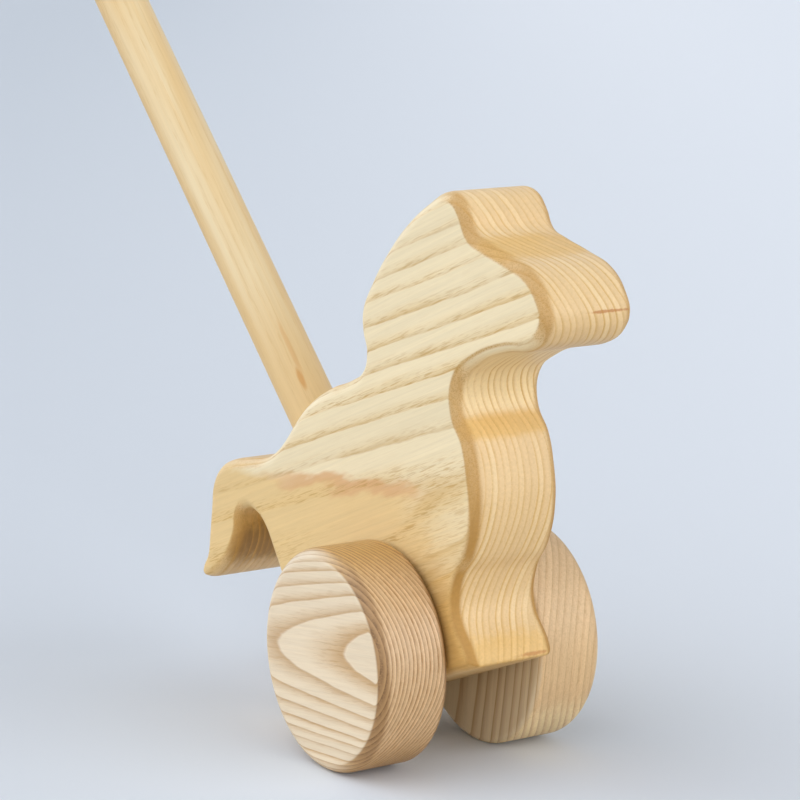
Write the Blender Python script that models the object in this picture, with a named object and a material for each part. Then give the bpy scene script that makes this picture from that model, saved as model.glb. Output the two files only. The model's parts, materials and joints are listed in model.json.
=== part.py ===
# Push-along horse: a plank sawn to a horse's outline, two wheels glued on an axle that turns in
# its foot, and a push stick set in its back. Left alone it leans back until its heel is on the floor.
# Metres, +X forward, +Z up, mirror plane Y = 0, origin on the floor under the middle of the box.

import math

import bmesh
import bpy
from mathutils import Matrix, Vector
from mathutils.geometry import interpolate_bezier

MM = 0.001

# Wheels and axle
WHEEL_DIAMETER = 70 * MM
WHEEL_THICKNESS = 24 * MM
WHEEL_OUTER_ROUND = 4 * MM
WHEEL_INNER_ROUND = 3 * MM
AXLE_DIAMETER = 10 * MM
AXLE_CHAMFER = 0.8 * MM
HUB_DEPTH = 16 * MM

# Plank
PLANK_THICKNESS = 32 * MM
EDGE_ROUND = 4 * MM
SOLE_DROP = 12.5 * MM
TOE_REACH = 43.5 * MM
HEEL_REACH = 62.5 * MM
TAIL_TIP_ROUND = 2.8 * MM

# Push stick
STICK_DIAMETER = 17.5 * MM
STICK_LENGTH = 480 * MM
STICK_LEAN = math.radians(23.5)
STICK_SEAT = (-38 * MM, 76.4 * MM)
STICK_END_ROUND = 6 * MM
STICK_CHAMFER = 1 * MM
SOCKET_DEPTH = 30 * MM

# Clearances: round glued joints, round the turning axle, and beside each wheel
GLUE_GAP = 0.3 * MM
RUNNING_GAP = 0.5 * MM
SIDE_PLAY = 1 * MM

# Facets
CURVE_STEPS = 4
ROUND_STEPS = 4
WHEEL_SIDES = 72
STICK_SIDES = 48
AXLE_SIDES = 32
CUTTER_OVERRUN = 5 * MM

# Outline knots in millimetres from the axle's centre, with the sole level
FRONT_LEG = [(42.9, -7.2), (40.0, 4.6), (45.0, 13.8), (53.6, 20.0)]
CHEST = [(61.6, 30.8), (65.4, 44.0), (65.9, 53.0), (63.8, 62.0)]
JAW = [(67.6, 69.8), (79.0, 73.0), (93.0, 72.6), (106.0, 70.4)]
MUZZLE = [(113.2, 71.9), (117.6, 76.4), (117.8, 82.5), (114.2, 91.0), (105.0, 98.6)]
FOREHEAD = [(95.4, 105.4), (90.2, 110.0), (89.0, 116.2), (86.3, 122.2), (80.6, 125.1)]
MANE = [(70.0, 124.7), (57.0, 122.2), (44.0, 117.4), (31.0, 110.4), (22.8, 103.9), (20.3, 97.0)]
BACK = [(20.0, 91.0), (16.2, 86.5), (7.0, 84.9), (-6.0, 85.3), (-20.0, 83.6), (-30.0, 80.1)]
RUMP = [(-46.0, 73.7), (-53.5, 72.9), (-64.0, 74.6)]
TAIL_TOP = [(-77.0, 76.8), (-85.0, 76.0), (-91.5, 71.7), (-95.6, 65.0), (-101.0, 55.8), (-104.8, 49.8)]
TAIL_TIP = (-106.4, 44.4)
TAIL_TIP_TURNS = (130, 202, 275)
ARCH = [(-93.0, 43.3), (-84.0, 47.9), (-79.0, 52.6), (-76.4, 57.0), (-72.6, 58.8), (-66.5, 56.1),
        (-62.6, 51.0), (-60.4, 43.6)]
HIND_LEG = [(-57.9, 32.0), (-57.0, 18.0), (-58.6, 5.0), (-61.4, -6.0)]

# Colours: base colour and roughness of each piece
PLANK_WOOD = ((0.76, 0.60, 0.36), 0.50)
WHEEL_WOOD = ((0.62, 0.42, 0.23), 0.52)
AXLE_WOOD = ((0.66, 0.47, 0.27), 0.55)
STICK_WOOD = ((0.78, 0.58, 0.31), 0.48)

WHEEL_RADIUS = WHEEL_DIAMETER / 2
AXLE_RADIUS = AXLE_DIAMETER / 2
STICK_RADIUS = STICK_DIAMETER / 2
WHEEL_INNER_FACE = PLANK_THICKNESS / 2 + SIDE_PLAY


def clear_scene():
    for item in list(bpy.data.objects):
        bpy.data.objects.remove(item, do_unlink=True)


def wood(name, finish):
    colour, roughness = finish
    material = bpy.data.materials.new(name)
    material.use_nodes = True
    shader = material.node_tree.nodes["Principled BSDF"]
    shader.inputs["Base Color"].default_value = (*colour, 1.0)
    shader.inputs["Roughness"].default_value = roughness
    shader.inputs["Metallic"].default_value = 0.0
    return material


def add_object(name, data, parent=None, location=(0, 0, 0), rotation=(0, 0, 0)):
    item = bpy.data.objects.new(name, data)
    bpy.context.collection.objects.link(item)
    item.parent = parent
    item.location = location
    item.rotation_euler = rotation
    return item


def mesh_from(bm, name, finish):
    mesh = bpy.data.meshes.new(name)
    bm.to_mesh(mesh)
    bm.free()
    mesh.shade_smooth()
    mesh.set_sharp_from_angle(angle=math.radians(35))
    mesh.materials.append(wood(name + "_wood", finish))
    return mesh


# Outline

def tail_end():
    # knots on the round end of the tail, from its upper side to its lower side
    turns = [math.radians(t) for t in TAIL_TIP_TURNS]
    return [Vector(TAIL_TIP) * MM + TAIL_TIP_ROUND * Vector((math.cos(t), math.sin(t))) for t in turns]


def outline_knots():
    sole = -SOLE_DROP
    lists = [FRONT_LEG, CHEST, JAW, MUZZLE, FOREHEAD, MANE, BACK]
    knots = [Vector((TOE_REACH, sole))]
    for points in lists:
        knots += [Vector(p) * MM for p in points]
    knots.append(Vector(STICK_SEAT))
    for points in (RUMP, TAIL_TOP):
        knots += [Vector(p) * MM for p in points]
    knots += tail_end()
    for points in (ARCH, HIND_LEG):
        knots += [Vector(p) * MM for p in points]
    knots.append(Vector((-HEEL_REACH, sole)))
    return knots


def smooth_handles(before, knot, after):
    # handles along the mean direction, 0.39 of each span, which draws round stretches round
    reach_in = (knot - before).length
    reach_out = (after - knot).length
    direction = ((knot - before) / reach_in + (after - knot) / reach_out).normalized()
    return knot - direction * 0.39 * reach_in, knot + direction * 0.39 * reach_out


def outline_points():
    # the first and last knots are the sharp toe and heel, and the lines that meet there are straight
    knots = outline_knots()
    handles = [smooth_handles(*near) for near in zip(knots, knots[1:], knots[2:])]
    curve = list(zip(knots[1:], handles))
    points = [knots[0]]
    for (start, leaving), (end, arriving) in zip(curve, curve[1:]):
        points += interpolate_bezier(start, leaving[1], arriving[0], end, CURVE_STEPS + 1)[:-1]
    return points + knots[-2:]


# Horse body

def inward_ways(outline):
    # each point's step inwards for a line moved in by one metre, mitred at the corners
    normals = []
    for start, end in zip(outline, outline[1:] + outline[:1]):
        normals.append(Vector((start.y - end.y, end.x - start.x)).normalized())
    return [(a + b) / (1 + a.dot(b)) for a, b in zip(normals[-1:] + normals, normals)]


def round_depths(outline, ways):
    # the edge round reaches in fully, but less by the tail's tip, where its points would cross
    ends = list(zip(outline, ways))
    narrow = []
    for (start, way), (end, next_way) in zip(ends, ends[1:] + ends[:1]):
        line = end - start
        closing = (way - next_way).dot(line) / line.length_squared
        if closing * EDGE_ROUND > 0.9:
            narrow.append(((start + end) / 2, 0.9 / closing))
    return [min([EDGE_ROUND] + [depth + (p - q).length / 2 for q, depth in narrow]) for p in outline]


def plank_mesh(outline):
    half = PLANK_THICKNESS / 2
    ways = inward_ways(outline)
    depths = round_depths(outline, ways)
    turns = [math.pi / 2 * i / ROUND_STEPS for i in range(ROUND_STEPS + 1)]
    levels = [(-1, t) for t in reversed(turns)] + [(1, t) for t in turns]
    bm = bmesh.new()
    rings = []
    for side, turn in levels:
        y = side * (half - EDGE_ROUND * (1 - math.sin(turn)))
        moved = [p + way * depth * (1 - math.cos(turn)) for p, way, depth in zip(outline, ways, depths)]
        rings.append([bm.verts.new((p.x, y, p.y)) for p in moved])
    for near, far in zip(rings, rings[1:]):
        for i in range(len(outline)):
            bm.faces.new((near[i - 1], near[i], far[i], far[i - 1]))
    flanks = [bm.faces.new(rings[0]), bm.faces.new(rings[-1])]
    bmesh.ops.recalc_face_normals(bm, faces=bm.faces)
    bmesh.ops.triangulate(bm, faces=flanks)
    return mesh_from(bm, "horse_body", PLANK_WOOD)


def cutter(name, parent, radius, length, sides, location, rotation):
    # a cylinder along its own Z that is only used to cut, and isn't a piece: half a facet's turn keeps
    # its edges off the outline's points
    half_facet = Matrix.Rotation(math.pi / sides, 4, "Z")
    bm = bmesh.new()
    bmesh.ops.create_cone(bm, cap_ends=True, segments=sides, radius1=radius, radius2=radius, depth=length,
                          matrix=half_facet)
    mesh = bpy.data.meshes.new(name)
    bm.to_mesh(mesh)
    bm.free()
    item = add_object(name, mesh, parent, location, rotation)
    item.display_type = "WIRE"
    item.hide_render = True
    return item


def cut(item, tool):
    boolean = item.modifiers.new(tool.name, "BOOLEAN")
    boolean.operation = "DIFFERENCE"
    boolean.solver = "EXACT"
    boolean.object = tool


def stick_point(distance):
    # a point on the stick's axis, measured outwards from the seat on the back
    return Vector((STICK_SEAT[0] - math.sin(STICK_LEAN) * distance, 0,
                   STICK_SEAT[1] + math.cos(STICK_LEAN) * distance))


def make_body(horse):
    body = add_object("horse_body", plank_mesh(outline_points()), horse)
    bore = cutter("axle_bore", horse, AXLE_RADIUS + RUNNING_GAP, PLANK_THICKNESS + 2 * CUTTER_OVERRUN,
                  AXLE_SIDES, (0, 0, 0), (math.pi / 2, 0, 0))
    reach = STICK_RADIUS + CUTTER_OVERRUN
    socket = cutter("stick_socket", horse, STICK_RADIUS + GLUE_GAP, SOCKET_DEPTH + reach,
                    STICK_SIDES, stick_point((reach - SOCKET_DEPTH) / 2), (0, -STICK_LEAN, 0))
    cut(body, bore)
    cut(body, socket)
    return body


def resting_lean(mesh):
    # the least turn about the axle that brings a point behind it down to the floor
    leans = []
    for vertex in mesh.vertices:
        back, down = -vertex.co.x, -vertex.co.z
        reach = math.hypot(back, down)
        if back > 0 and reach > WHEEL_RADIUS:
            leans.append(math.asin(WHEEL_RADIUS / reach) - math.atan2(down, back))
    return min(leans)


# Turned pieces

def quarter_round(centre, radius, start):
    # points on a quarter circle, turning clockwise from the start angle
    turns = [start - math.pi / 2 * i / ROUND_STEPS for i in range(ROUND_STEPS + 1)]
    return [(centre[0] + radius * math.cos(t), centre[1] + radius * math.sin(t)) for t in turns]


def turned_mesh(name, profile, sides, finish):
    # the profile gives radius and height, from the top of the axis down the outer side
    bm = bmesh.new()
    points = [bm.verts.new((radius, 0, height)) for radius, height in profile]
    lines = [bm.edges.new(pair) for pair in zip(points, points[1:])]
    bmesh.ops.spin(bm, geom=points + lines, cent=(0, 0, 0), axis=(0, 0, 1), angle=2 * math.pi,
                   steps=sides, use_merge=True)
    bmesh.ops.remove_doubles(bm, verts=bm.verts, dist=0.001 * MM)
    bmesh.ops.recalc_face_normals(bm, faces=bm.faces)
    return mesh_from(bm, name, finish)


def wheel_profile():
    # the outer face is on top, and the blind hub bore opens at the bottom
    top = WHEEL_THICKNESS
    bore = AXLE_RADIUS + GLUE_GAP
    outer = (WHEEL_RADIUS - WHEEL_OUTER_ROUND, top - WHEEL_OUTER_ROUND)
    inner = (WHEEL_RADIUS - WHEEL_INNER_ROUND, WHEEL_INNER_ROUND)
    return ([(0, top)]
            + quarter_round(outer, WHEEL_OUTER_ROUND, math.pi / 2)
            + quarter_round(inner, WHEEL_INNER_ROUND, 0)
            + [(bore, 0), (bore, HUB_DEPTH), (0, HUB_DEPTH)])


def make_wheels(wheel_set):
    for side, name in ((1, "left_wheel"), (-1, "right_wheel")):
        mesh = turned_mesh(name, wheel_profile(), WHEEL_SIDES, WHEEL_WOOD)
        add_object(name, mesh, wheel_set, (0, side * WHEEL_INNER_FACE, 0), (-side * math.pi / 2, 0, 0))


def make_axle(wheel_set):
    half = WHEEL_INNER_FACE + HUB_DEPTH - GLUE_GAP
    waist = AXLE_RADIUS - AXLE_CHAMFER
    profile = [(0, half), (waist, half), (AXLE_RADIUS, half - AXLE_CHAMFER),
               (AXLE_RADIUS, AXLE_CHAMFER - half), (waist, -half), (0, -half)]
    mesh = turned_mesh("axle", profile, AXLE_SIDES, AXLE_WOOD)
    add_object("axle", mesh, wheel_set, (0, 0, 0), (math.pi / 2, 0, 0))


def make_stick(horse):
    # its own Z runs up the stick from the bottom of the socket
    dome = (STICK_RADIUS - STICK_END_ROUND, STICK_LENGTH - STICK_END_ROUND)
    profile = ([(0, STICK_LENGTH)]
               + quarter_round(dome, STICK_END_ROUND, math.pi / 2)
               + [(STICK_RADIUS, STICK_CHAMFER), (STICK_RADIUS - STICK_CHAMFER, 0), (0, 0)])
    mesh = turned_mesh("push_stick", profile, STICK_SIDES, STICK_WOOD)
    return add_object("push_stick", mesh, horse, stick_point(GLUE_GAP - SOCKET_DEPTH), (0, -STICK_LEAN, 0))


def forward_reach(item):
    places = [(item.matrix_world @ v.co).x for v in item.data.vertices]
    return min(places), max(places)


def main():
    clear_scene()
    wheel_set = add_object("wheel_set", None)
    horse = add_object("leaning_horse", None)
    body = make_body(horse)
    stick = make_stick(horse)
    make_axle(wheel_set)
    make_wheels(wheel_set)

    # lean the horse on its heel, stand the wheels on the floor and centre the whole length
    horse.rotation_euler = (0, -resting_lean(body.data), 0)
    bpy.context.view_layer.update()
    ends = forward_reach(body) + forward_reach(stick)
    axle_centre = (-(min(ends) + max(ends)) / 2, 0, WHEEL_RADIUS)
    horse.location = axle_centre
    wheel_set.location = axle_centre
    bpy.context.view_layer.update()


main()
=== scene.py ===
import json
import math

import bmesh
import bpy
from mathutils import Matrix, Vector


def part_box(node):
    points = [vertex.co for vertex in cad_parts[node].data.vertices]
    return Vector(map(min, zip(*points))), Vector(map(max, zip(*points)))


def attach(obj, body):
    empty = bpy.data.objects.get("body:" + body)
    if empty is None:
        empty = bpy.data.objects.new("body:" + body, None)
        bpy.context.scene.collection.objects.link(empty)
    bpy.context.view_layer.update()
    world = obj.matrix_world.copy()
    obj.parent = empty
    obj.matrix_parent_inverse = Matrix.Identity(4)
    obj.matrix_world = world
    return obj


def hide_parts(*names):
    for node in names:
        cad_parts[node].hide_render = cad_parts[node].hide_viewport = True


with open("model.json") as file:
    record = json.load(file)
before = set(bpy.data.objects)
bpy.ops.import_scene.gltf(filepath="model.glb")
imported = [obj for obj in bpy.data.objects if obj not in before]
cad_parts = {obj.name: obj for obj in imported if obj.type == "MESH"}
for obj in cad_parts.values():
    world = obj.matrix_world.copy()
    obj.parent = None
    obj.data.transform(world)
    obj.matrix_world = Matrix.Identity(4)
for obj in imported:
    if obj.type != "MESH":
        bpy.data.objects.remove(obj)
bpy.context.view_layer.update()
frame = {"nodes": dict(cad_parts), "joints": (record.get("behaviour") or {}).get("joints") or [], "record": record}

mm = 0.001
samePoint = 1e-6                                              # points closer than this are one point
axleCentre = Vector(frame["joints"][0]["pos_m"])
soleFacing = Vector(frame["record"]["mounts"][0]["axis"])
lean = math.atan2(soleFacing.x, -soleFacing.z)                # how far the horse leans back on its heel
levelToWorld = Matrix.Translation(axleCentre) @ Matrix.Rotation(-lean, 4, "Y")
print("frame loaded, the horse leans back", round(math.degrees(lean), 2), "degrees")


def addItem(name, data):
    item = bpy.data.objects.new(name, data)
    bpy.context.scene.collection.objects.link(item)
    return item


# camera, at the photograph's own place

cameraSettings = {"fromAxle": (0.747607, -0.504713, 0.249605), "azimuth": 56.62, "elevation": 10.80,
                  "roll": 0.22, "lens": 133.474, "sensor": 36}


def placeCamera(settings):
    data = bpy.data.cameras.new("photoCamera")
    data.sensor_width = settings["sensor"]
    data.lens = settings["lens"]
    item = addItem("photoCamera", data)
    turn = Matrix.Rotation(math.radians(settings["azimuth"]), 4, "Z")
    tip = Matrix.Rotation(math.radians(90 - settings["elevation"]), 4, "X")
    roll = Matrix.Rotation(math.radians(settings["roll"]), 4, "Z")
    item.matrix_world = Matrix.Translation(axleCentre + Vector(settings["fromAxle"])) @ turn @ tip @ roll
    bpy.context.scene.camera = item


placeCamera(cameraSettings)
print("camera placed")


# small helpers for node trees

def addNode(tree, kind, **settings):
    item = tree.nodes.new(kind)
    for name, value in settings.items():
        setattr(item, name, value)
    return item


def plug(tree, socket, value):
    if isinstance(value, bpy.types.NodeSocket):
        tree.links.new(value, socket)
    else:
        socket.default_value = value


def calc(tree, operation, *values):
    item = addNode(tree, "ShaderNodeMath", operation=operation)
    for socket, value in zip(item.inputs, values):
        plug(tree, socket, value)
    return item.outputs[0]


def times(tree, product, *factors):
    for factor in factors:
        product = calc(tree, "MULTIPLY", product, factor)
    return product


def vectorCalc(tree, operation, *values):
    item = addNode(tree, "ShaderNodeVectorMath", operation=operation)
    for socket, value in zip(item.inputs, values):
        plug(tree, socket, value)
    return item.outputs["Value" if operation in ("LENGTH", "DOT_PRODUCT") else "Vector"]


def split(tree, vector):
    item = addNode(tree, "ShaderNodeSeparateXYZ")
    plug(tree, item.inputs[0], vector)
    return item.outputs


def fade(tree, value, low, high, outLow=0.0, outHigh=1.0):
    item = addNode(tree, "ShaderNodeMapRange", interpolation_type="SMOOTHSTEP")
    for name, setting in (("Value", value), ("From Min", low), ("From Max", high),
                          ("To Min", outLow), ("To Max", outHigh)):
        plug(tree, item.inputs[name], setting)
    return item.outputs["Result"]


def noise(tree, vector, factors, detail=2.0, roughness=0.5):
    # a small factor draws the noise out along that axis
    item = addNode(tree, "ShaderNodeTexNoise")
    plug(tree, item.inputs["Vector"], vectorCalc(tree, "MULTIPLY", vector, factors))
    plug(tree, item.inputs["Scale"], 1.0)
    plug(tree, item.inputs["Detail"], detail)
    plug(tree, item.inputs["Roughness"], roughness)
    return item.outputs["Fac"]


def swing(tree, vector, factors, detail=2.0, roughness=0.5):
    # noise that goes up and down about nought
    return calc(tree, "SUBTRACT", noise(tree, vector, factors, detail, roughness), 0.5)


def tint(tree, factor, first, second, mode="MIX"):
    item = addNode(tree, "ShaderNodeMix", data_type="RGBA", blend_type=mode)
    # this node's sockets for colours come after those for values and vectors
    for socket, value in ((item.inputs[0], factor), (item.inputs[6], first), (item.inputs[7], second)):
        if isinstance(value, tuple):
            value = (*value, 1.0)
        plug(tree, socket, value)
    return item.outputs[2]


def startGroup(name, vectors, values, results):
    group = bpy.data.node_groups.new(name, "ShaderNodeTree")
    sockets = [(label, "INPUT", "NodeSocketVector") for label in vectors]
    sockets += [(label, "INPUT", "NodeSocketFloat") for label in values]
    sockets += [(label, "OUTPUT", "NodeSocketFloat") for label in results]
    for label, way, kind in sockets:
        group.interface.new_socket(label, in_out=way, socket_type=kind)
    entry = group.nodes.new("NodeGroupInput").outputs
    leave = group.nodes.new("NodeGroupOutput").inputs
    return group, entry, leave


def useGroup(tree, group, **values):
    item = addNode(tree, "ShaderNodeGroup", node_tree=group)
    for name, value in values.items():
        plug(tree, item.inputs[name], value)
    return item.outputs


# growth rings: the grain runs along X, in millimetres, and the rings bow across Y and Z

ringSettings = {"waves": [((0.010, 0.030, 0.030), 2.6), ((0.045, 0.11, 0.11), 0.9),
                          ((0.16, 0.5, 0.5), 0.22)],
                "years": 0.55, "faintest": 0.5, "onset": (0.0, 0.07), "ebbEnd": 0.02,
                "lineStart": (0.0, 0.05), "lineEnd": (0.24, 0.07)}


def makeGrowthRings(settings):
    group, given, out = startGroup(
        "growthRings", ["Grain"],
        ["Width", "Uneven", "Centre", "Size", "Slope", "Drift", "Wander", "Shift", "Late"],
        ["Early", "Line", "Tone"])
    x, y, z = split(group, given["Grain"])
    off = calc(group, "SUBTRACT", z, given["Centre"])
    reach = calc(group, "ADD", times(group, off, off), times(group, given["Size"], given["Size"]))
    depth = calc(group, "ADD", y, times(group, calc(group, "SQRT", reach), given["Slope"]))
    depth = calc(group, "SUBTRACT", depth, times(group, given["Drift"], x))
    # slow waves, then small ones, as a tree grows
    for factors, share in settings["waves"]:
        wave = times(group, swing(group, given["Grain"], factors), share, given["Wander"])
        depth = calc(group, "ADD", depth, wave)
    count = calc(group, "ADD", calc(group, "DIVIDE", depth, given["Width"]), given["Shift"])
    # good and bad years make wide and narrow rings
    years = addNode(group, "ShaderNodeTexNoise", noise_dimensions="1D")
    plug(group, years.inputs["W"], count)
    plug(group, years.inputs["Scale"], settings["years"])
    luck = calc(group, "SUBTRACT", years.outputs["Fac"], 0.5)
    count = calc(group, "MULTIPLY_ADD", luck, given["Uneven"], count)
    phase = calc(group, "FRACT", count)
    # some rings are fainter than others
    chance = addNode(group, "ShaderNodeTexWhiteNoise", noise_dimensions="1D")
    plug(group, chance.inputs["W"], calc(group, "FLOOR", count))
    tone = chance.outputs["Value"]
    strength = calc(group, "MULTIPLY_ADD", tone, 1 - settings["faintest"], settings["faintest"])
    onset = fade(group, phase, *settings["onset"])
    ebb = fade(group, phase, given["Late"], settings["ebbEnd"])
    line = times(group, fade(group, phase, *settings["lineStart"]), fade(group, phase, *settings["lineEnd"]))
    plug(group, out["Early"], times(group, onset, ebb, strength))
    plug(group, out["Line"], line)
    plug(group, out["Tone"], tone)
    return group


# open pores: dashes along the grain, dots on end grain

poreSettings = {"coarse": (0.10, 1.5, 1.5), "fine": (0.19, 3.2, 3.2), "fineShare": 0.8, "cut": (0.54, 0.68),
                "fibre": (0.018, 1.1, 1.1)}


def makeOpenPores(settings):
    group, given, out = startGroup("openPores", ["Grain"], ["Early", "Plain"], ["Pores", "Fibre"])
    coarse = fade(group, noise(group, given["Grain"], settings["coarse"], 1.0), *settings["cut"])
    fine = fade(group, noise(group, given["Grain"], settings["fine"], 1.0), *settings["cut"])
    dashes = calc(group, "MAXIMUM", coarse, times(group, fine, settings["fineShare"]))
    where = calc(group, "MAXIMUM", given["Early"], given["Plain"])
    plug(group, out["Pores"], times(group, dashes, where))
    plug(group, out["Fibre"], noise(group, given["Grain"], settings["fibre"], 4.0, 0.65))
    return group


# where a face is an edge, a round-over between edge and flank, its border with the flank, or end grain

edgeSettings = {"into": (-0.1, 0.55), "soft": (0.90, 0.30), "crisp": (0.992, 0.93),
                "roundStart": (0.03, 0.5), "roundEnd": 0.998, "roundSoft": 0.72, "roundCrisp": 0.97,
                "borderStart": (0.86, 0.95), "borderEnd": (0.995, 0.97), "endGrain": (0.25, 0.85),
                "speckle": (1.6, 3.0, 3.0), "speckleCut": (0.50, 0.61), "leastFlat": 0.001}


def makeSawnEdge(settings):
    group, given, out = startGroup("sawnEdge", ["Facing", "Grain"], ["Crisp"],
                                   ["Edge", "Round", "Border", "EndGrain", "Speckle"])
    x, y, z = split(group, given["Facing"])
    side = calc(group, "ABSOLUTE", y)
    flat = calc(group, "SQRT", calc(group, "ADD", times(group, x, x), times(group, z, z)))
    ahead = calc(group, "DIVIDE", x, calc(group, "MAXIMUM", flat, settings["leastFlat"]))
    # cut into the grain the border is crisp, cut along it or out of it the border is soft
    into = fade(group, ahead, *settings["into"])
    soft = fade(group, side, *settings["soft"])
    crisp = calc(group, "SUBTRACT", fade(group, side, *settings["crisp"]), soft)
    crisp = times(group, crisp, into, given["Crisp"])
    roundEnd = fade(group, given["Crisp"], 0.0, 1.0, settings["roundSoft"], settings["roundCrisp"])
    rounded = times(group, fade(group, side, *settings["roundStart"]),
                    fade(group, side, settings["roundEnd"], roundEnd), into)
    border = times(group, fade(group, side, *settings["borderStart"]),
                   fade(group, side, *settings["borderEnd"]))
    speckle = noise(group, given["Grain"], settings["speckle"], 2.0, 0.6)
    plug(group, out["Edge"], calc(group, "ADD", crisp, soft))
    plug(group, out["Round"], rounded)
    plug(group, out["Border"], border)
    plug(group, out["EndGrain"], fade(group, calc(group, "ABSOLUTE", ahead), *settings["endGrain"]))
    plug(group, out["Speckle"], fade(group, speckle, *settings["speckleCut"]))
    return group


# one soft-edged mark in the wood, such as a stain or a knot

markSettings = {"torn": (0.09, 0.5, 0.5), "softness": (1.0, 0.45)}


def makeWoodMark(settings):
    group, given, out = startGroup("woodMark", ["Grain", "Centre", "Reach"], ["Ragged"], ["Mark"])
    off = vectorCalc(group, "SUBTRACT", given["Grain"], given["Centre"])
    size = vectorCalc(group, "LENGTH", vectorCalc(group, "DIVIDE", off, given["Reach"]))
    torn = swing(group, given["Grain"], settings["torn"], 3.0, 0.6)
    edge = calc(group, "MULTIPLY_ADD", torn, given["Ragged"], size)
    plug(group, out["Mark"], fade(group, edge, *settings["softness"]))
    return group


growthRings = makeGrowthRings(ringSettings)
openPores = makeOpenPores(poreSettings)
sawnEdge = makeSawnEdge(edgeSettings)
woodMark = makeWoodMark(markSettings)
print("wood groups made")


# what all the woods share: a start, marks and a finish

def startWood(name, settings):
    material = bpy.data.materials.new(name)
    material.use_nodes = True
    tree = material.node_tree
    shader = tree.nodes["Principled BSDF"]
    shader.inputs["Roughness"].default_value = settings["roughness"]
    shader.inputs["Specular IOR Level"].default_value = settings["gloss"]
    return material, tree, shader


def grainFrame(tree, turn, origin):
    # millimetres from the origin, turned so that the grain runs along X
    coords = addNode(tree, "ShaderNodeTexCoord")
    place = addNode(tree, "ShaderNodeMapping")
    plug(tree, place.inputs["Vector"], coords.outputs["Object"])
    place.inputs["Scale"].default_value = (1 / mm, 1 / mm, 1 / mm)
    place.inputs["Rotation"].default_value = (0, turn, 0)
    place.inputs["Location"].default_value = Matrix.Rotation(turn, 3, "Y") @ -(Vector(origin) / mm)
    facing = addNode(tree, "ShaderNodeMapping", vector_type="VECTOR")
    plug(tree, facing.inputs["Vector"], coords.outputs["Normal"])
    facing.inputs["Rotation"].default_value = (0, turn, 0)
    return place.outputs[0], facing.outputs[0]


def addMarks(tree, grain, colour, marks, ragged, settings):
    # each mark has a colour's name, a centre, a reach and a strength
    for name, centre, reach, strength in marks:
        mark = useGroup(tree, woodMark, Grain=grain, Centre=centre, Reach=reach, Ragged=ragged)
        colour = tint(tree, times(tree, mark["Mark"], strength), colour, settings[name])
    return colour


def finishWood(tree, shader, colour, rough, found, pores, figure):
    # fibres, rings and pores vary the light, the shine and the height a little
    light = calc(tree, "MULTIPLY_ADD", pores["Fibre"], *figure["fibreLight"])
    light = times(tree, light, fade(tree, found["Tone"], 0.0, 1.0, *figure["ringLight"]))
    plug(tree, shader.inputs["Base Color"], tint(tree, 1.0, colour, light, "MULTIPLY"))
    rough = calc(tree, "MULTIPLY_ADD", pores["Pores"], figure["poreRough"], rough)
    plug(tree, shader.inputs["Roughness"], rough)
    sunk = calc(tree, "MULTIPLY_ADD", found["Early"], figure["ringSunk"], pores["Pores"])
    bump = addNode(tree, "ShaderNodeBump")
    bump.inputs["Strength"].default_value = 1.0
    bump.inputs["Distance"].default_value = figure["relief"]
    raised = times(tree, pores["Fibre"], figure["fibreRaised"])
    plug(tree, bump.inputs["Height"], calc(tree, "SUBTRACT", raised, sunk))
    plug(tree, shader.inputs["Normal"], bump.outputs[0])


# plank: pale ash, more golden on its sawn edges, with brown heartwood low in the body

plankSettings = {"pale": (0.855, 0.755, 0.53), "streak": (0.72, 0.525, 0.235), "pore": (0.49, 0.285, 0.075),
                 "honey": (0.76, 0.55, 0.25), "heart": (0.68, 0.395, 0.185), "edge": (0.80, 0.585, 0.32),
                 "edgePale": (0.86, 0.69, 0.42), "edgeLine": (0.63, 0.375, 0.105),
                 # the last colour on the next line is painted light, for the throat and the jaw's underside
                 "edgeDeep": (0.765, 0.49, 0.165), "edgePaintedLight": (0.90, 0.71, 0.41),
                 # the colour after the soaked one on the next line is painted shade, for under the tail and along
                 # the sole
                 "soaked": (0.49, 0.27, 0.075), "paintedShade": (0.36, 0.215, 0.08), "rust": (0.50, 0.20, 0.05),
                 "roughness": 0.46, "gloss": 0.3}
plankRings = {"Width": 2.4, "Uneven": 0.5, "Centre": 42.0, "Size": 20.0, "Slope": 0.38, "Drift": -0.018,
              "Wander": 0.55, "Shift": 6.22, "Late": 0.6}
# places are in millimetres from the axle, forward and up as the horse stands level
plankFigure = {"crispAbove": (12.0, 46.0), "torn": (0.035, 0.12, 0.12), "tornUp": 16.0, "tornAlong": 40.0,
               "heartDrop": 0.256, "heartBelow": (56.5, 50.5), "heartBehind": (52.0, 18.0, 0.35, 1.0),
               "heartTail": (-58.0, -84.0), "heartLeg": (26.0, 4.0), "honey": 0.85,
               "rimLevel": 53.0, "rimWidth": (4.2, 0.8), "rimBehind": (46.0, 24.0),
               "rimBefore": (-62.0, -26.0), "heart": 0.75,
               "dashBelow": (60.0, 50.0), "dashBefore": (12.0, 34.0), "dash": 0.4, "plain": 0.06,
               "waning": (0.022, 0.16, 0.16), "waningCut": (0.34, 0.62, 0.3, 1.0), "streak": 0.72,
               "hairline": 0.3, "goldBelow": (34.0, 0.0, 0.0, 0.8),
               "edgePale": (0.5, 1.0, 0.0, 0.45), "cloud": (0.035, 0.07, 0.035),
               "cloudCut": (0.32, 0.62, 0.35, 1.1), "lineSharp": 1.4, "edgeLine": 0.9,
               "soakEnd": (0.3, 0.8), "soakBelow": (60.0, 5.0, 0.8, 1.4), "speck": 0.6,
               "jawLine": (0.65, 1.0), "ragged": 0.5, "raggedTop": 1.2, "poreDark": (0.75, 0.25),
               "fibreLight": (0.26, 0.87), "ringLight": (0.97, 1.02), "polish": 0.04, "roundRough": 0.06,
               "poreRough": 0.2, "ringSunk": 0.25, "fibreRaised": 0.25, "relief": 0.04 * mm}
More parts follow.
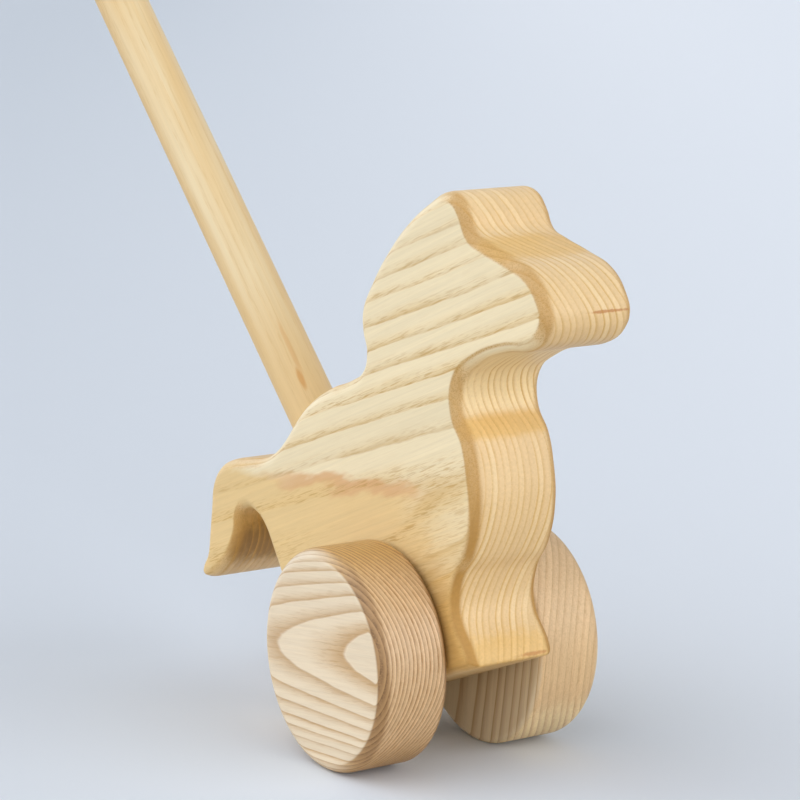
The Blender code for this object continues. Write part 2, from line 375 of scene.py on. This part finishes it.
# sawn edges are deeper gold on the forehead, the neck, the toe and in the arch; painted light makes them lighter
# at the throat and along the jaw, and painted shade makes them dark under the tail and along the sole; the flank
# is brown beside the wheel; a thin, broken dark line runs along the jaw, and rust-brown lines cross the nose and
# the toe
plankMarks = {"edge": [("edgeDeep", (99.0, 0.0, 102.0), (17.0, 34.0, 9.0), 0.8),
                       # painted light on the next two lines: the throat and the jaw's underside, in the jaw's
                       # shade, are made paler
                       ("edgePaintedLight", (66.0, 0.0, 66.5), (14.0, 36.0, 8.5), 1.0),
                       ("edgePaintedLight", (82.0, 0.0, 72.5), (20.0, 36.0, 6.0), 0.8),
                       ("edgeDeep", (65.5, 0.0, 56.3), (10.0, 34.0, 5.6), 0.75),
                       ("edgeDeep", (43.0, 0.0, -12.0), (12.0, 34.0, 12.0), 0.7),
                       ("edgeDeep", (-74.0, 0.0, 50.0), (24.0, 40.0, 14.0), 1.0),
                       # painted shade on the next two lines: dark under the tail in the arch and along the sole
                       ("paintedShade", (-76.0, 0.0, 46.0), (22.0, 40.0, 13.0), 0.95),
                       ("paintedShade", (0.0, 0.0, -14.0), (80.0, 40.0, 4.0), 0.35)],
              "flank": [("soaked", (24.0, 0.0, 0.0), (30.0, 40.0, 34.0), 0.62)],
              "jaw": [("pore", (84.0, 0.0, 74.0), (30.0, 40.0, 9.0), 1.0)],
              "top": [("rust", (118.0, 7.0, 77.3), (6.0, 8.5, 0.6), 0.75),
                      ("rust", (43.0, 7.5, -11.2), (4.0, 6.5, 0.9), 0.65)]}


def makePlankWood(settings, rings, figure, marks):
    material, tree, shader = startWood("plankWood", settings)
    grain, facing = grainFrame(tree, lean, axleCentre)
    places = split(tree, grain)
    along, up = places[0], places[2]
    found = useGroup(tree, growthRings, Grain=grain, **rings)
    early, line, tone = found["Early"], found["Line"], found["Tone"]
    # low on the leg the border is sanded soft
    sides = useGroup(tree, sawnEdge, Facing=facing, Grain=grain, Crisp=fade(tree, up, *figure["crispAbove"]))

    # heartwood below a line that drops towards the chest, at the tail and low on the leg
    torn = swing(tree, grain, figure["torn"], 3.0, 0.6)
    level = calc(tree, "MULTIPLY_ADD", along, figure["heartDrop"], up)
    level = calc(tree, "MULTIPLY_ADD", torn, figure["tornUp"], level)
    front = calc(tree, "MULTIPLY_ADD", torn, figure["tornAlong"], along)
    heartwood = times(tree, fade(tree, level, *figure["heartBelow"]),
                      fade(tree, front, *figure["heartBehind"]))
    heartwood = calc(tree, "MAXIMUM", heartwood, fade(tree, front, *figure["heartTail"]))
    heartwood = calc(tree, "MAXIMUM", heartwood, fade(tree, up, *figure["heartLeg"]))
    rim = calc(tree, "ABSOLUTE", calc(tree, "SUBTRACT", level, figure["rimLevel"]))
    rim = times(tree, fade(tree, rim, *figure["rimWidth"]), fade(tree, front, *figure["rimBehind"]),
                fade(tree, front, *figure["rimBefore"]))
    # short dark dashes gather between the heartwood and the chest
    dashes = times(tree, fade(tree, level, *figure["dashBelow"]), fade(tree, front, *figure["dashBefore"]))
    plain = calc(tree, "MULTIPLY_ADD", dashes, figure["dash"], figure["plain"])
    pores = useGroup(tree, openPores, Grain=grain, Early=early, Plain=plain)

    # streaks come and go along the grain
    waning = fade(tree, noise(tree, grain, figure["waning"]), *figure["waningCut"])
    flank = tint(tree, times(tree, early, waning, figure["streak"]), settings["pale"], settings["streak"])
    flank = tint(tree, times(tree, line, waning, figure["hairline"]), flank, settings["pore"])
    flank = tint(tree, times(tree, heartwood, figure["honey"]), flank, settings["honey"])
    flank = tint(tree, times(tree, rim, figure["heart"]), flank, settings["heart"])
    flank = tint(tree, fade(tree, up, *figure["goldBelow"]), flank, settings["edgeDeep"])
    flank = addMarks(tree, grain, flank, marks["flank"], figure["ragged"], settings)

    # on the sawn edges ring lines show in clouds
    edge = tint(tree, fade(tree, tone, *figure["edgePale"]), settings["edge"], settings["edgePale"])
    edge = addMarks(tree, grain, edge, marks["edge"], figure["ragged"], settings)
    cloud = fade(tree, noise(tree, grain, figure["cloud"]), *figure["cloudCut"])
    drawn = times(tree, calc(tree, "POWER", early, figure["lineSharp"]), cloud, figure["edgeLine"])
    edge = tint(tree, drawn, edge, settings["edgeLine"])
    colour = tint(tree, sides["Edge"], flank, edge)

    # end grain on the round-over drinks more oil
    soak = times(tree, sides["Round"], fade(tree, sides["EndGrain"], 0.0, 1.0, *figure["soakEnd"]),
                 fade(tree, up, *figure["soakBelow"]))
    colour = tint(tree, soak, colour, settings["soaked"])
    specks = times(tree, sides["Speckle"], sides["Round"], figure["speck"])
    colour = tint(tree, specks, colour, settings["pore"])
    # a thin, broken dark line is drawn along the jaw's border
    jawBorder = times(tree, sides["Border"], fade(tree, sides["Speckle"], 0.0, 1.0, *figure["jawLine"]))
    jaw = addMarks(tree, grain, colour, marks["jaw"], figure["ragged"], settings)
    colour = tint(tree, jawBorder, colour, jaw)
    colour = addMarks(tree, grain, colour, marks["top"], figure["raggedTop"], settings)
    dark = fade(tree, sides["Edge"], 0.0, 1.0, *figure["poreDark"])
    colour = tint(tree, times(tree, pores["Pores"], dark), colour, settings["pore"])

    smooth = settings["roughness"] - figure["polish"]
    rough = calc(tree, "MULTIPLY_ADD", sides["Round"], figure["roundRough"], smooth)
    finishWood(tree, shader, colour, rough, found, pores, figure)
    return material


# wheels: turned from a pinker board, cream on the faces and brown on the tread

nearWheelSettings = {"pale": (0.815, 0.705, 0.54), "streak": (0.575, 0.37, 0.165),
                     "line": (0.46, 0.265, 0.105), "tread": (0.72, 0.505, 0.295),
                     "treadSide": (0.64, 0.39, 0.125), "treadLine": (0.35, 0.18, 0.055),
                     "soaked": (0.36, 0.20, 0.075), "deepLine": (0.16, 0.08, 0.028),
                     "breadth": 1.7, "turn": math.radians(8.5), "roughness": 0.42, "gloss": 0.5}
nearWheelRings = {"Width": 1.5, "Uneven": 0.35, "Centre": 3.9, "Size": 50.0, "Slope": 1.0, "Drift": 0.04,
                  "Wander": 0.3, "Shift": 0.44, "Late": 0.85}
farWheelSettings = {"pale": (0.79, 0.66, 0.46), "streak": (0.53, 0.35, 0.17), "line": (0.42, 0.26, 0.11),
                    "tread": (0.77, 0.56, 0.335), "treadSide": (0.755, 0.54, 0.305),
                    # the last colour on the next line is painted light, for the far wheel's lower front
                    "treadLine": (0.67, 0.455, 0.25), "paintedBounce": (0.92, 0.76, 0.46),
                    "soaked": (0.60, 0.40, 0.20), "deepLine": (0.56, 0.37, 0.19),
                    "breadth": 1.0, "turn": math.radians(84), "roughness": 0.46, "gloss": 0.4}
farWheelRings = {"Width": 2.6, "Uneven": 0.6, "Centre": 22.0, "Size": 55.0, "Slope": 1.0, "Drift": 0.03,
                 "Wander": 0.35, "Shift": 0.3, "Late": 0.7}
wheelFigure = {"plain": 0.16, "band": 0.85, "faceLine": 0.35, "soakEnd": (0.25, 0.85), "ragged": 0.5,
               "patchy": (0.25, 0.9, 0.3), "patchyCut": (0.3, 0.65, 0.5, 1.1), "lineSharp": 0.7,
               "treadLine": 0.4, "speck": 0.22, "pore": 0.4,
               "fibreLight": (0.3, 0.85), "ringLight": (0.94, 1.03), "polish": 0.03, "poreRough": 0.2,
               "ringSunk": 0.5, "fibreRaised": 0.3, "relief": 0.06 * mm}
# painted shade darkens the near wheel's tread low at the front, where it faces down, and painted light makes the
# far wheel paler low at the front, where light comes up from the floor
nearWheelShadeMarks = [("soaked", (12.0, -30.0, -32.0), (20.0, 30.0, 14.0), 0.3)]
farWheelLightMarks = [("paintedBounce", (-28.0, 30.0, -16.0), (21.0, 60.0, 40.0), 0.9)]


def makeWheelWood(name, settings, rings, figure, marks):
    material, tree, shader = startWood(name, settings)
    grain, facing = grainFrame(tree, settings["turn"], axleCentre)
    found = useGroup(tree, growthRings, Grain=grain, **rings)
    early, line = found["Early"], found["Line"]
    sides = useGroup(tree, sawnEdge, Facing=facing, Grain=grain, Crisp=1.0)
    pores = useGroup(tree, openPores, Grain=grain, Early=early, Plain=figure["plain"])
    band = calc(tree, "POWER", early, settings["breadth"])
    face = tint(tree, times(tree, band, figure["band"]), settings["pale"], settings["streak"])
    face = tint(tree, times(tree, line, figure["faceLine"]), face, settings["line"])

    # the tread's end grain drinks more oil, most of all on its round-over
    soak = times(tree, sides["Round"], fade(tree, sides["EndGrain"], 0.0, 1.0, *figure["soakEnd"]))
    tread = tint(tree, sides["EndGrain"], settings["treadSide"], settings["tread"])
    tread = addMarks(tree, grain, tread, marks, figure["ragged"], settings)
    tread = tint(tree, soak, tread, settings["soaked"])
    ringLine = tint(tree, soak, settings["treadLine"], settings["deepLine"])
    patchy = fade(tree, noise(tree, grain, figure["patchy"], 3.0, 0.6), *figure["patchyCut"])
    drawn = times(tree, calc(tree, "POWER", early, figure["lineSharp"]), patchy)
    tread = tint(tree, drawn, tread, ringLine)
    tread = tint(tree, times(tree, line, figure["treadLine"]), tread, settings["deepLine"])

    colour = tint(tree, sides["Edge"], face, tread)
    specks = times(tree, sides["Speckle"], sides["Edge"], figure["speck"])
    colour = tint(tree, specks, colour, settings["line"])
    colour = tint(tree, times(tree, pores["Pores"], figure["pore"]), colour, settings["line"])
    finishWood(tree, shader, colour, settings["roughness"] - figure["polish"], found, pores, figure)
    return material


# stick and axle: straight-grained dowels

dowelSettings = {"pale": (0.775, 0.65, 0.415), "streak": (0.72, 0.52, 0.255), "pore": (0.52, 0.33, 0.125),
                 "end": (0.66, 0.46, 0.22), "knot": (0.58, 0.27, 0.05), "roughness": 0.45, "gloss": 0.4}
dowelRings = {"Width": 2.6, "Uneven": 0.5, "Centre": 2.0, "Size": 30.0, "Slope": 1.0, "Drift": 0.004,
              "Wander": 0.5, "Shift": 0.2, "Late": 0.8}
dowelFigure = {"plain": 0.06, "broad": (0.006, 0.08, 0.08), "broadCut": (0.36, 0.64),
               "footGold": (90.0, 10.0), "streak": 0.3, "endFacing": (0.2, 0.8), "end": 0.7,
               "ragged": 0.7, "pore": 0.3,
               "fibreLight": (0.16, 0.92), "ringLight": (1.0, 1.0), "polish": 0.02, "poreRough": 0.2,
               "ringSunk": 0.0, "fibreRaised": 0.3, "relief": 0.04 * mm}
# one knot near the stick's foot, with a fainter tail above it
stickKnots = [("knot", (17.0, -4.5, -7.5), (5.5, 1.2, 2.4), 0.7),
              ("knot", (29.0, -3.6, -8.0), (14.0, 1.0, 2.2), 0.35)]


def makeDowelWood(name, settings, rings, figure, knots, turn, origin):
    material, tree, shader = startWood(name, settings)
    grain, facing = grainFrame(tree, turn, origin)
    found = useGroup(tree, growthRings, Grain=grain, **rings)
    early = found["Early"]
    pores = useGroup(tree, openPores, Grain=grain, Early=early, Plain=figure["plain"])
    broad = fade(tree, noise(tree, grain, figure["broad"]), *figure["broadCut"])
    golden = calc(tree, "MAXIMUM", broad, fade(tree, split(tree, grain)[0], *figure["footGold"]))
    colour = tint(tree, golden, settings["pale"], settings["streak"])
    colour = tint(tree, times(tree, early, figure["streak"]), colour, settings["streak"])
    endGrain = fade(tree, calc(tree, "ABSOLUTE", split(tree, facing)[0]), *figure["endFacing"])
    colour = tint(tree, times(tree, endGrain, figure["end"]), colour, settings["end"])
    colour = addMarks(tree, grain, colour, knots, figure["ragged"], settings)
    colour = tint(tree, times(tree, pores["Pores"], figure["pore"]), colour, settings["pore"])
    finishWood(tree, shader, colour, settings["roughness"] - figure["polish"], found, pores, figure)
    return material


# pieces

sharpAngle = math.radians(40)                                 # edges that turn more are left sharp


def meshFrom(bm, name):
    mesh = bpy.data.meshes.new(name)
    bm.to_mesh(mesh)
    bm.free()
    return mesh


def makePiece(name, mesh, material):
    stored = mesh.attributes.get("custom_normal")
    if stored:
        mesh.attributes.remove(stored)                        # the CAD mesh's normals don't suit the new one
    mesh.shade_smooth()
    mesh.set_sharp_from_angle(angle=sharpAngle)
    mesh.materials.clear()
    mesh.materials.append(material)
    print(name, "made,", len(mesh.polygons), "faces")
    return addItem(name, mesh)


def roundEdges(bm, edges, size, steps):
    bmesh.ops.bevel(bm, geom=edges, offset=size, offset_type="OFFSET", segments=steps, profile=0.5,
                    affect="EDGES", material=-1)


# horse: the plank's own outline, taken where its edge round begins, with finer curves and a rounder round

horseSettings = {"half": 16 * mm, "round": 4 * mm, "roundSteps": 8, "support": 0.4 * mm,
                 "mostClosed": 0.75, "widening": 0.3, "cornerAngle": math.radians(35),
                 "toeEase": 0.9 * mm, "toeSteps": 3, "toeStop": 0.4 * mm,
                 "bore": 5.5 * mm, "boreSides": 48, "boreReach": 9 * mm,
                 "socket": 8.8 * mm, "socketSides": 96, "socketDepth": 30 * mm, "socketLead": 20 * mm}
stickSettings = {"seat": (-38 * mm, 0, 76.4 * mm), "lean": math.radians(23.5), "radius": 8.75 * mm,
                 "length": 480 * mm, "foot": -29.7 * mm, "endRound": 6 * mm, "endSteps": 10,
                 "footEase": 1 * mm, "footSteps": 2, "support": 0.4 * mm, "sides": 96}
stickPlace = (levelToWorld @ Matrix.Translation(stickSettings["seat"])
              @ Matrix.Rotation(-stickSettings["lean"], 4, "Y"))     # own Z runs up the stick from its seat


def outlineLoop(node, height, boreReach):
    bm = bmesh.new()
    bm.from_mesh(node.data)
    rank = bm.verts.layers.int.new("rank")
    bmesh.ops.remove_doubles(bm, verts=bm.verts, dist=samePoint)
    bmesh.ops.bisect_plane(bm, geom=bm.verts[:] + bm.edges[:] + bm.faces[:], dist=samePoint,
                           plane_co=(0, height, 0), plane_no=(0, 1, 0), clear_inner=True, clear_outer=True)
    inBore = [v for v in bm.verts if math.hypot(v.co.x - axleCentre.x, v.co.z - axleCentre.z) < boreReach]
    bmesh.ops.delete(bm, geom=inBore, context="VERTS")
    return bm, rank


def walkLoop(bm):
    # the loop's points in order, from the toe up the front leg
    start = min((v for v in bm.verts if v.co.x > axleCentre.x), key=lambda v: v.co.z)
    order = [start]
    edge = max(start.link_edges, key=lambda e: e.other_vert(start).co.z)
    while True:
        point = edge.other_vert(order[-1])
        if point is start:
            return order
        order.append(point)
        edge = next(e for e in point.link_edges if e is not edge)


def isCorner(order, i, angle):
    before, here, after = (order[j % len(order)].co for j in (i - 1, i, i + 1))
    return (here - before).angle(after - here) > angle


def smoothLoop(bm, angle):
    # a new point halfway along each line, moved onto the curve through its four neighbours;
    # the straight lines that meet at the toe and the heel stay whole
    order = walkLoop(bm)
    total = len(order)
    places = []
    curved = []
    for i, point in enumerate(order):
        places.append(point.co.copy())
        if isCorner(order, i, angle) or isCorner(order, i + 1, angle):
            continue
        a, b, c, d = (order[(i + j) % total].co for j in (-1, 0, 1, 2))
        places.append((9 * (b + c) - a - d) / 16)
        curved.append(bm.edges.get((point, order[(i + 1) % total])))
    bmesh.ops.subdivide_edges(bm, edges=curved, cuts=1)
    order = walkLoop(bm)
    for point, place in zip(order, places):
        point.co = place
    return order


def inwardWays(points):
    normals = []
    for start, end in zip(points, points[1:] + points[:1]):
        line = end - start
        normals.append(Vector((-line.z, 0, line.x)).normalized())
    area = sum(a.x * b.z - b.x * a.z for a, b in zip(points, points[1:] + points[:1]))
    if area < 0:
        normals = [-n for n in normals]
    return [(a + b) / (1 + a.dot(b)) for a, b in zip(normals[-1:] + normals, normals)]


def roundDepths(points, ways, settings):
    # full depth, but less round the tip of the tail, where the lines would cross
    depth = settings["round"]
    narrow = []
    ends = list(zip(points, ways))
    for (start, way), (end, nextWay) in zip(ends, ends[1:] + ends[:1]):
        line = end - start
        closing = (way - nextWay).dot(line) / line.length_squared
        if closing * depth > settings["mostClosed"]:
            narrow.append(((start + end) / 2, settings["mostClosed"] / closing))
    return [min([depth] + [d + settings["widening"] * (p - q).length for q, d in narrow]) for p in points]


def extrudeLoop(bm, edges):
    made = bmesh.ops.extrude_edge_only(bm, edges=edges)["geom"]
    verts = [g for g in made if isinstance(g, bmesh.types.BMVert)]
    fresh = set(verts)
    edges = [g for g in made if isinstance(g, bmesh.types.BMEdge) and fresh.issuperset(g.verts)]
    return verts, edges


def cutter(name, radius, length, sides, place):
    bm = bmesh.new()
    turned = place @ Matrix.Rotation(math.pi / sides, 4, "Z")
    bmesh.ops.create_cone(bm, cap_ends=True, segments=sides, radius1=radius, radius2=radius, depth=length,
                          matrix=turned)
    return addItem(name, meshFrom(bm, name))


def cutAway(mesh, tools):
    # the holes are cut here and now, so the piece keeps no modifier
    blank = addItem("blank", mesh)
    for tool in tools:
        cut = blank.modifiers.new(tool.name, "BOOLEAN")
        cut.operation = "DIFFERENCE"
        cut.solver = "EXACT"
        cut.object = tool
    bpy.context.view_layer.update()
    shaped = bpy.data.meshes.new_from_object(blank.evaluated_get(bpy.context.evaluated_depsgraph_get()))
    for item in [blank] + tools:
        bpy.data.objects.remove(item, do_unlink=True)
    return shaped


def horseBlank(settings):
    half, depth, steps = settings["half"], settings["round"], settings["roundSteps"]
    bm, rank = outlineLoop(frame["nodes"]["horse_body"], depth - half, settings["boreReach"])
    order = smoothLoop(bm, settings["cornerAngle"])
    corners = [i for i in range(len(order)) if isCorner(order, i, settings["cornerAngle"])]
    points = [Vector((v.co.x, 0, v.co.z)) for v in order]
    for i, point in enumerate(order):
        point[rank] = i + 1
    ways = inwardWays(points)
    depths = roundDepths(points, ways, settings)
    edges = bm.edges[:]
    middle = extrudeLoop(bm, edges)[0]
    # the round goes from the edge to the flank in a quarter turn, and a last ring holds its border
    turns = [math.pi / 2 * (i + 1) / steps for i in range(steps)]
    rings = [(1 - math.cos(t), half - depth * (1 - math.sin(t)), 0) for t in turns]
    rings.append((1, half, settings["support"]))
    for inset, out, extra in rings:
        verts, edges = extrudeLoop(bm, edges)
        for v in verts:
            i = v[rank] - 1
            v.co = points[i] + ways[i] * (depths[i] * inset + extra * depths[i] / depth)
            v.co.y = -out
    rim = Matrix.Translation((axleCentre.x, -half, axleCentre.z)) @ Matrix.Rotation(math.pi / 2, 4, "X")
    circle = bmesh.ops.create_circle(bm, segments=settings["boreSides"], radius=settings["bore"],
                                     matrix=rim)["verts"]
    hole = list(dict.fromkeys(e for v in circle for e in v.link_edges))
    middle += extrudeLoop(bm, hole)[0]
    for v in middle:
        v.co.y = 0
    bmesh.ops.triangle_fill(bm, use_beauty=True, edges=edges + hole, normal=(0, -1, 0))
    # the left half mirrors the right one
    bmesh.ops.mirror(bm, geom=bm.verts[:] + bm.edges[:] + bm.faces[:], merge_dist=samePoint, axis="Y")
    bmesh.ops.recalc_face_normals(bm, faces=bm.faces)
    # take the sharpness off the toe and the heel
    sharp = [e for e in bm.edges if e.verts[0][rank] == e.verts[1][rank] and e.verts[0][rank] - 1 in corners
             and max(abs(v.co.y) for v in e.verts) < half - settings["toeStop"]]
    roundEdges(bm, sharp, settings["toeEase"], settings["toeSteps"])
    return meshFrom(bm, "horse")


def makeHorse(settings, material):
    depth = settings["socketDepth"]
    length = depth + settings["socketLead"]
    socket = cutter("socket", settings["socket"], length, settings["socketSides"],
                    stickPlace @ Matrix.Translation((0, 0, length / 2 - depth)))
    return makePiece("horse", cutAway(horseBlank(settings), [socket]), material)


# turned pieces: a profile of radius and height is spun, then its rims are rounded

def turnedShape(profile, sides, rims):
    bm = bmesh.new()
    points = [bm.verts.new((radius, 0, height)) for radius, height in profile]
    lines = [bm.edges.new(pair) for pair in zip(points, points[1:])]
    bmesh.ops.spin(bm, geom=points + lines, cent=(0, 0, 0), axis=(0, 0, 1), angle=2 * math.pi, steps=sides,
                   use_merge=True)
    bmesh.ops.remove_doubles(bm, verts=bm.verts, dist=samePoint)
    bmesh.ops.recalc_face_normals(bm, faces=bm.faces)
    for radius, height, size, steps in rims:
        onRim = {v for v in bm.verts if abs(v.co.z - height) < samePoint
                 and abs(math.hypot(v.co.x, v.co.y) - radius) < samePoint}
        roundEdges(bm, [e for e in bm.edges if onRim.issuperset(e.verts)], size, steps)
    return bm


wheelShape = {"outerRound": 4 * mm, "outerSteps": 8, "innerRound": 2.2 * mm, "innerSteps": 6,
              "hub": 5.3 * mm, "hubDepth": 16 * mm, "hubEase": 0.4 * mm, "hubSteps": 2,
              "support": 0.4 * mm, "sides": 128}


def makeWheel(name, node, side, settings, material):
    low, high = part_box(node)
    radius, thick = (high.z - low.z) / 2, high.y - low.y
    centre = (low + high) / 2
    outer, inner, near = settings["outerRound"], settings["innerRound"], settings["support"]
    hub, deep = settings["hub"], settings["hubDepth"]
    profile = [(0, thick), (radius - outer - near, thick), (radius, thick), (radius, thick - outer - near),
               (radius, inner + near), (radius, 0), (radius - inner - near, 0),
               (hub, 0), (hub, deep), (0, deep)]
    rims = [(radius, thick, outer, settings["outerSteps"]), (radius, 0, inner, settings["innerSteps"]),
            (hub, 0, settings["hubEase"], settings["hubSteps"])]
    bm = turnedShape(profile, settings["sides"], rims)
    inFace = centre.y - side * thick / 2
    place = Matrix.Translation((centre.x, inFace, centre.z)) @ Matrix.Rotation(-side * math.pi / 2, 4, "X")
    bmesh.ops.transform(bm, matrix=place, verts=bm.verts)
    return makePiece(name, meshFrom(bm, name), material)


def makeStick(settings, material):
    foot, radius = settings["foot"], settings["radius"]
    top = foot + settings["length"]
    shoulder = settings["endRound"] + settings["support"]
    profile = [(0, top), (radius - shoulder, top), (radius, top), (radius, top - shoulder), (radius, 0),
               (radius, foot), (0, foot)]
    rims = [(radius, top, settings["endRound"], settings["endSteps"]),
            (radius, foot, settings["footEase"], settings["footSteps"])]
    bm = turnedShape(profile, settings["sides"], rims)
    bmesh.ops.transform(bm, matrix=stickPlace, verts=bm.verts)
    return makePiece("pushStick", meshFrom(bm, "pushStick"), material)


plankWood = makePlankWood(plankSettings, plankRings, plankFigure, plankMarks)
nearWheelWood = makeWheelWood("nearWheelWood", nearWheelSettings, nearWheelRings, wheelFigure,
                              nearWheelShadeMarks)
farWheelWood = makeWheelWood("farWheelWood", farWheelSettings, farWheelRings, wheelFigure, farWheelLightMarks)
stickWood = makeDowelWood("stickWood", dowelSettings, dowelRings, dowelFigure, stickKnots,
                          lean + stickSettings["lean"] + math.pi / 2, stickPlace.translation)
axleWood = makeDowelWood("axleWood", dowelSettings, dowelRings, dowelFigure, [], 0.0, axleCentre)
print("woods made")

horse = makeHorse(horseSettings, plankWood)
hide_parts("horse_body")
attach(horse, "horse")

pushStick = makeStick(stickSettings, stickWood)
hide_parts("push_stick")
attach(pushStick, "horse")

rightWheel = makeWheel("rightWheel", "right_wheel", -1, wheelShape, nearWheelWood)
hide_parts("right_wheel")
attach(rightWheel, "wheel_set")

leftWheel = makeWheel("leftWheel", "left_wheel", 1, wheelShape, farWheelWood)
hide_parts("left_wheel")
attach(leftWheel, "wheel_set")

axleNode = frame["nodes"]["axle"]
axleNode.data.materials.clear()
axleNode.data.materials.append(axleWood)
print("pieces ride on their bodies")


# floor, light and background; each sun has the way towards it, a strength, a breadth in degrees and a colour

stageSettings = {"size": 40.0, "left": (0.625, 0.69, 0.775), "right": (0.83, 0.89, 0.975), "spread": 0.55,
                 "rampTurn": math.radians(56.6), "bounce": (0.66, 0.615, 0.53), "floorRoughness": 0.8,
                 "sky": (0.95, 0.97, 1.0), "skyStrength": 0.10,
                 "backLeft": (0.568, 0.625, 0.704), "backRight": (0.754, 0.806, 0.886), "backSpread": 0.03,
                 "suns": [((0.86, 0.36, 0.17), 2.2, 62, (0.99, 0.985, 1.0)),
                          ((0.05, -0.88, 0.38), 2.82, 110, (0.99, 0.99, 1.0)),
                          ((-0.88, -0.33, 0.35), 0.8, 60, (1.0, 1.0, 1.0)),
                          ((0.1, 0.5, 0.86), 0.5, 90, (1.0, 1.0, 1.0))]}


def sideRamp(tree, place, turn, spread, left, right):
    # darker on one side of the studio, paler on the other
    coords = addNode(tree, "ShaderNodeTexCoord")
    across = vectorCalc(tree, "DOT_PRODUCT", coords.outputs[place], (math.cos(turn), math.sin(turn), 0))
    return tint(tree, fade(tree, across, -spread, spread), left, right)


def seenDirectly(tree):
    path = addNode(tree, "ShaderNodeLightPath")
    seen = calc(tree, "MAXIMUM", path.outputs["Is Camera Ray"], path.outputs["Is Glossy Ray"])
    return calc(tree, "MAXIMUM", seen, path.outputs["Is Transmission Ray"])


def makeFloor(settings):
    bm = bmesh.new()
    bmesh.ops.create_grid(bm, x_segments=1, y_segments=1, size=settings["size"] / 2)
    material = bpy.data.materials.new("paleFloor")
    material.use_nodes = True
    tree = material.node_tree
    shader = tree.nodes["Principled BSDF"]
    shader.inputs["Roughness"].default_value = settings["floorRoughness"]
    shader.inputs["Specular IOR Level"].default_value = 0.0
    pale = sideRamp(tree, "Object", settings["rampTurn"], settings["spread"], settings["left"],
                    settings["right"])
    # the floor is pale where it is seen, and throws back less light than that
    plug(tree, shader.inputs["Base Color"], tint(tree, seenDirectly(tree), settings["bounce"], pale))
    floor = makePiece("floor", meshFrom(bm, "floor"), material)


def makeLight(settings):
    world = bpy.data.worlds.new("softRoom")
    bpy.context.scene.world = world
    world.use_nodes = True
    tree = world.node_tree
    light = tree.nodes["Background"]
    light.inputs["Color"].default_value = (*settings["sky"], 1.0)
    light.inputs["Strength"].default_value = settings["skyStrength"]
    # the backdrop goes on from the floor's far edge
    backdrop = addNode(tree, "ShaderNodeBackground")
    ramp = sideRamp(tree, "Generated", settings["rampTurn"], settings["backSpread"], settings["backLeft"],
                    settings["backRight"])
    plug(tree, backdrop.inputs["Color"], ramp)
    choose = addNode(tree, "ShaderNodeMixShader")
    plug(tree, choose.inputs[0], seenDirectly(tree))
    plug(tree, choose.inputs[1], light.outputs[0])
    plug(tree, choose.inputs[2], backdrop.outputs[0])
    plug(tree, tree.nodes["World Output"].inputs["Surface"], choose.outputs[0])
    for number, (toward, strength, breadth, colour) in enumerate(settings["suns"]):
        data = bpy.data.lights.new("softSun%d" % number, "SUN")
        data.energy = strength
        data.angle = math.radians(breadth)
        data.color = colour
        item = addItem(data.name, data)
        item.rotation_euler = Vector(toward).to_track_quat("Z", "Y").to_euler()


makeFloor(stageSettings)
makeLight(stageSettings)
bpy.context.scene.view_settings.view_transform = "Standard"
print("floor and light made")
